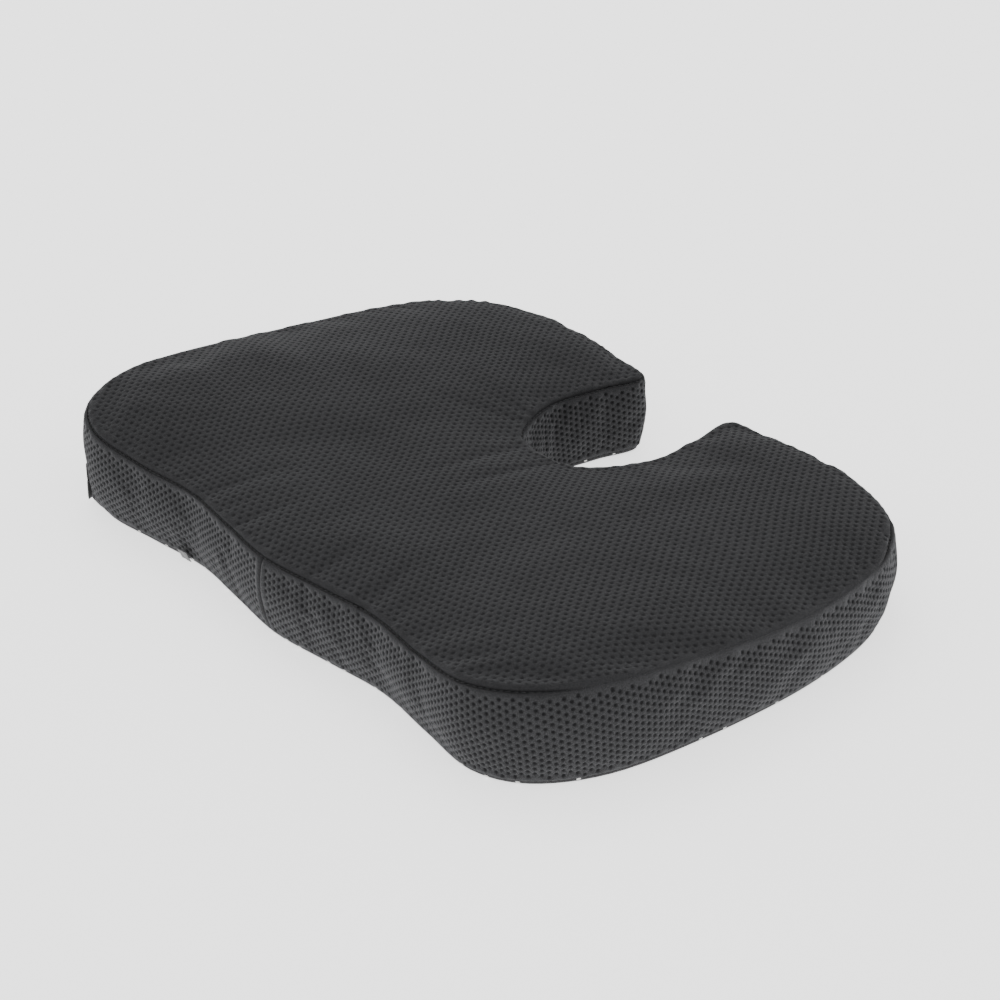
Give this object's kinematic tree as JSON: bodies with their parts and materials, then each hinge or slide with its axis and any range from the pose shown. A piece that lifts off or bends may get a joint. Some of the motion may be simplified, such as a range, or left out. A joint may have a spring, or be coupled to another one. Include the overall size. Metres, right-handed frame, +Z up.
{
  "type": "seat cushion",
  "caption": "U-shaped foam seat cushion with a tailbone notch at the rear, in a zipped dark mesh cover with an anti-slip underside, for an office chair or car seat",
  "frame": {"origin": "centre of the underside's bounding box, on the surface that the cushion rests on", "axes": "+X to the sitter's right, +Y to the rear where the notch opens, +Z up"},
  "size_m": [0.4439, 0.3015, 0.0609],
  "materials": {
    "mesh_top": "matte spacer mesh",
    "mesh_wall": "matte spacer mesh",
    "base_fabric": "matte brushed knit",
    "grip_rubber": "satin",
    "foam": "matte open-cell foam",
    "liner": "matte knit",
    "thread": "twisted polyester",
    "zip_tape": "matte twill tape",
    "zip_teeth": "nylon coil",
    "zip_metal": "black enamel",
    "label": "satin"
  },
  "bodies": {
    "root": {"foam_core": "foam", "liner_upper": "liner", "liner_lower": "liner", "top_panel": "mesh_top", "boxing_right": "mesh_wall", "boxing_left": "mesh_wall", "boxing_notch": "mesh_wall", "bottom_panel": "base_fabric", "grip_dots": "grip_rubber", "top_seam_thread": "thread", "bottom_seam_thread": "thread", "front_join_thread": "thread", "rear_join_threads": "thread", "zip_tape_upper": "zip_tape", "zip_tape_lower": "zip_tape", "zip_teeth_upper": "zip_teeth", "zip_teeth_lower": "zip_teeth", "zip_end_stop": "zip_teeth", "zip_start_stops": "zip_metal", "care_label": "label"},
    "slider": {"zip_slider": "zip_metal"},
    "pull": {"zip_pull": "zip_metal"}
  },
  "joints": [
    {"name": "zip_travel", "type": "hinge", "parent": "root", "child": "slider", "pos_m": [0.0995, -0.0025, 0.015], "axis": [0, 0, -1], "range_deg": [0, 36]},
    {"name": "pull_swing", "type": "hinge", "parent": "slider", "child": "pull", "pos_m": [-0.19476, -0.13076, 0.015], "axis": [-0.3996, 0.9167, 0], "range_deg": [0, 120]}
  ]
}
